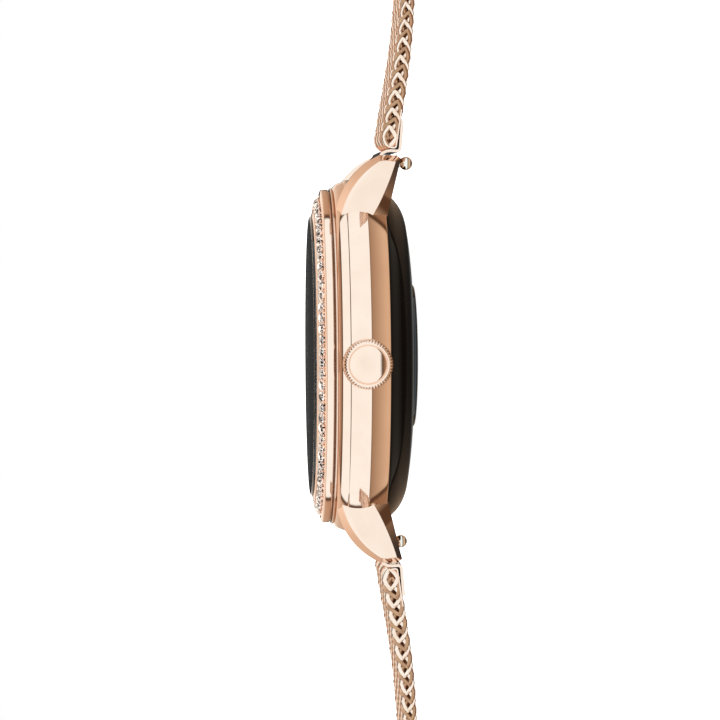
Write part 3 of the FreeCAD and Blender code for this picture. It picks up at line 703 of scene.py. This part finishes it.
def wind_coil(hand):
    """A flattened coil across the strap, wound to that hand."""
    tall, wide = HALF_MESH - WIRE - 0.01, HALF_WIDTH - WIRE
    points = []
    for half in range(2 * TURNS + 2):
        climb, face = (1, 1) if half % 2 == 0 else (-1, -1)
        for step in HALF_STEPS:
            progress = (half + (step + 1) / 2 - 1) / (2 * TURNS)
            sunk = 0.55 * max(0.0, -progress, progress - 1) * 2 * TURNS
            x = wide * (2 * min(1.0, max(0.0, progress)) - 1)
            end_turn = max(0.0, abs(x) - wide + 1.3) / 1.3
            power = 3.0 - 1.7 * end_turn
            lift = (0.16 if hand > 0 else -0.2) * end_turn * max(0.0, climb * step)
            y, z = climb * step * LONG, face * hand * tall * (1 - abs(step) ** power) + lift
            points.append((x - math.copysign(sunk, x), y, z))
    wire = bpy.data.curves.new("wire", "CURVE")
    wire.dimensions, wire.bevel_depth, wire.bevel_resolution, wire.use_fill_caps = "3D", WIRE, 1, True
    wire.twist_mode = "MINIMUM"
    line = wire.splines.new("POLY")
    line.points.add(len(points) - 1)
    for spot, point in zip(line.points, points):
        spot.co = (*point, 1)
    wound = bpy.data.objects.new("wire", wire)
    mesh = bpy.data.meshes.new_from_object(wound)
    bpy.data.objects.remove(wound)
    # Painted shade: faces within 1 mm of either end of the coils wound the other hand take the darker wire.
    for face in mesh.polygons:
        face.material_index = int(hand < 0 and abs(face.center.x) > wide - 1.0)
    return mesh


coils = [wind_coil(1), wind_coil(-1)]
print("a coil has", len(coils[0].polygons), "faces")

# %% [markdown]
# ## Laying the coils
# The mesh bends at the frame's hinges. It is laid in pieces that each reach from the middle of one
# link to the middle of the next, shaped along the strap's line across one hinge. These middle
# pieces ride on no body: the reach of a blend between the two bodies, a few millimetres on each
# side of the hinge and less beside the stiff clasp, is worked out but not used. The first and last
# pieces simply ride.

# %% Weave both halves
def weave(half, side, first, last):
    """Lays coils along a half of the strap, in pieces that each reach across one hinge."""
    line = LINES[half]
    marks = corner_lengths(line)
    middles = [(a + b) / 2 for a, b in zip(marks, marks[1:])]
    bodies = [half + "_end"] + [f"{half}_link_{n}" for n in range(2, len(line))]
    rows = [first + PITCH * n for n in range(int((last - first) / PITCH) + 1)]
    limits = [-1.0] + middles + [1e9]
    for number, (low, high) in enumerate(zip(limits, limits[1:])):
        places = [(n, at) for n, at in enumerate(rows) if low <= at < high]
        bm = bmesh.new()
        for n, at in places:
            before = len(bm.verts)
            bm.from_mesh(coils[n % 2])
            bm.verts.ensure_lookup_table()
            thicker = 1 + 0.42 * min(1.0, max(0.0, (24.0 - at) / 17.0))
            raised = Matrix.Translation((0, 0, 0.4 * max(0.0, 1 - at / 16)))
            bmesh.ops.transform(bm, matrix=frame_at(line, at, side) @ raised @ Matrix.Scale(thicker, 4,
                                                                                            (0, 0, 1)),
                                verts=bm.verts[before:])
        node = f"{half}_mesh_{min(number + 1, len(bodies))}"
        blended = 0 < number < len(bodies)
        body = None if blended else bodies[min(number, len(bodies) - 1)]
        made = finish_piece(f"{half}_weave_{number + 1}", bm, body,
                            [wire_gold, shaded_wire_gold], [node], crease=60,
                            weighted=False)
        if blended:
            bend = 5.0 if marks[number] < 58 else 2.0
            ends = [frame_at(line, at, side).translation * MM for at in (marks[number] - bend,
                                                                         marks[number] + bend)]
            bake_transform(made)


UPPER_END = corner_lengths(LINES["upper"])[-1] - 1.3
LOWER_END = corner_lengths(LINES["lower"])[-1] - 1.3
weave("upper", 1, 3.25, UPPER_END)
weave("lower", -1, 3.25, LOWER_END)

# %% [markdown]
# ## Folded ends
# Each half ends in a folded sheet of the same polished steel. It rolls round the spring bar, and
# its tail lies behind the mesh with a thin gap, while a second thin strip backs the mesh itself.
# The sheet's middle line is drawn across the strap and a solidify step gives it its thickness.

# %% Fold the sheets
def folded_sheet(name, half, side, path, thickness, width):
    """A sheet of that thickness along a path of (y, z) points from the spring bar, across the strap."""
    bm = bmesh.new()
    corners = [bm.verts.new((-width, y, z)) for y, z in path]
    edges = [bm.edges.new(pair) for pair in zip(corners, corners[1:])]
    grown = bmesh.ops.extrude_edge_only(bm, edges=edges)["geom"]
    bmesh.ops.translate(bm, vec=(2 * width, 0, 0),
                        verts=[g for g in grown if isinstance(g, bmesh.types.BMVert)])
    bmesh.ops.recalc_face_normals(bm, faces=bm.faces)
    bmesh.ops.solidify(bm, geom=bm.faces[:], thickness=thickness)
    bmesh.ops.recalc_face_normals(bm, faces=bm.faces)
    soften(bm, 0.04, segments=2, angle=40)
    (y0, z0), (y1, z1) = LINES[half][:2]
    lay = Matrix.Translation((0, y0, z0)) @ Matrix.Rotation(math.atan2(z1 - z0, y1 - y0), 4, "X")
    if side < 0:
        lay = Matrix.Rotation(math.pi, 4, "Z") @ lay
    bmesh.ops.transform(bm, matrix=lay, verts=bm.verts)
    return finish_piece(name, bm, half + "_end", [rose_gold], [half + "_end_plate"], crease=40)


tube = [(1.26 * math.cos(math.radians(a)), 1.26 * math.sin(math.radians(a))) for a in range(220, 55, -9)]
wall = [(1.12, 0.85), (1.38, 0.45), (1.5, 0.0), (1.53, -0.5), (1.58, -0.85), (1.74, -1.08), (2.05, -1.19),
        (5.35, -0.99)]
for half, side in (("upper", 1), ("lower", -1)):
    folded_sheet(half + "_folded_end", half, side, tube + wall, 0.34, HALF_WIDTH)
    folded_sheet(half + "_mesh_liner", half, side,
                 [(2.02, 0.4), (1.94, 0.1), (1.95, -0.35), (2.15, -0.62), (6.6, -0.67)], 0.2,
                 HALF_WIDTH - 0.02)

# %% [markdown]
# ## Release pins
# A sprung tip at one end of each spring bar is drawn back by a small ball on a stalk, which sticks
# out behind the strap. The stem and tip are turned, the ball and its stalk are plain solids that
# run into the stem.

# %% Turn the release pins
KNOB = Vector((6.0, 22.90, 1.26))
BAR = Vector((6.0, 22.70, 3.35))
for half, side in (("upper", 1), ("lower", -1)):
    bm = turned([(0.02, 5.3), (0.58, 5.3), (0.58, 8.5), (0.45, 8.6), (0.45, 10.3), (0.3, 10.4),
                 (0.02, 10.4)], 24, (1, 0, 0))
    bmesh.ops.translate(bm, vec=(0, BAR.y, BAR.z), verts=bm.verts)
    stalk = KNOB - BAR
    place = Matrix.Translation((KNOB + BAR) / 2) @ stalk.to_track_quat("Z", "Y").to_matrix().to_4x4()
    bmesh.ops.create_cone(bm, cap_ends=True, segments=20, radius1=0.36, radius2=0.36, depth=stalk.length,
                          matrix=place)
    bmesh.ops.create_uvsphere(bm, u_segments=32, v_segments=20, radius=0.78, matrix=Matrix.Translation(KNOB))
    if side < 0:
        bmesh.ops.rotate(bm, cent=(0, 0, 0), matrix=Matrix.Rotation(math.pi, 3, "Z"), verts=bm.verts)
    finish_piece(half + "_release_knob", bm, half + "_lever", [stainless],
                 [half + "_release_pin"], crease=50)

# %% [markdown]
# ## Caps and clasp
# The caps on the strap's ends and the sliding clasp are folded sheet metal. Their shapes are those
# of the drawing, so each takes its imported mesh, with the triangles of every flat face joined up
# again, and gets rounded edges, without which metal looks like card.

# %% Polish the sheet-metal parts
def polished(node_name, body, width, finish=rose_gold):
    """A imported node's shape with its edges rounded to that width in millimetres."""
    node = frame["nodes"][node_name]
    bm = bmesh.new()
    bm.from_mesh(node.data)
    bmesh.ops.transform(bm, matrix=Matrix.Scale(1 / MM, 4) @ node.matrix_world, verts=bm.verts)
    bmesh.ops.remove_doubles(bm, verts=bm.verts, dist=1e-4)
    bmesh.ops.dissolve_limit(bm, angle_limit=math.radians(1), verts=bm.verts, edges=bm.edges)
    made = finish_piece(node_name + "_polished", bm, body, [finish], [node_name], crease=30)
    rounding = made.modifiers.new("rounded edges", "BEVEL")
    rounding.width, rounding.segments, rounding.limit_method, rounding.angle_limit = width * MM, 2, "ANGLE", math.radians(30)
    made.modifiers.move(1, 0)


for name, body, width in (("catch_bar", "upper_link_5", 0.12), ("strap_end_cap", "lower_link_7", 0.12),
                          ("clasp_frame", "clasp", 0.08), ("clasp_lock_flap", "clasp_flap", 0.08),
                          ("clasp_cover", "clasp_lid", 0.1)):
    polished(name, body, width)
polished("clasp_pins", "clasp", 0.04, stainless)
for half in ("upper", "lower"):
    polished(half + "_bar_tube", half + "_end", 0.05, stainless)
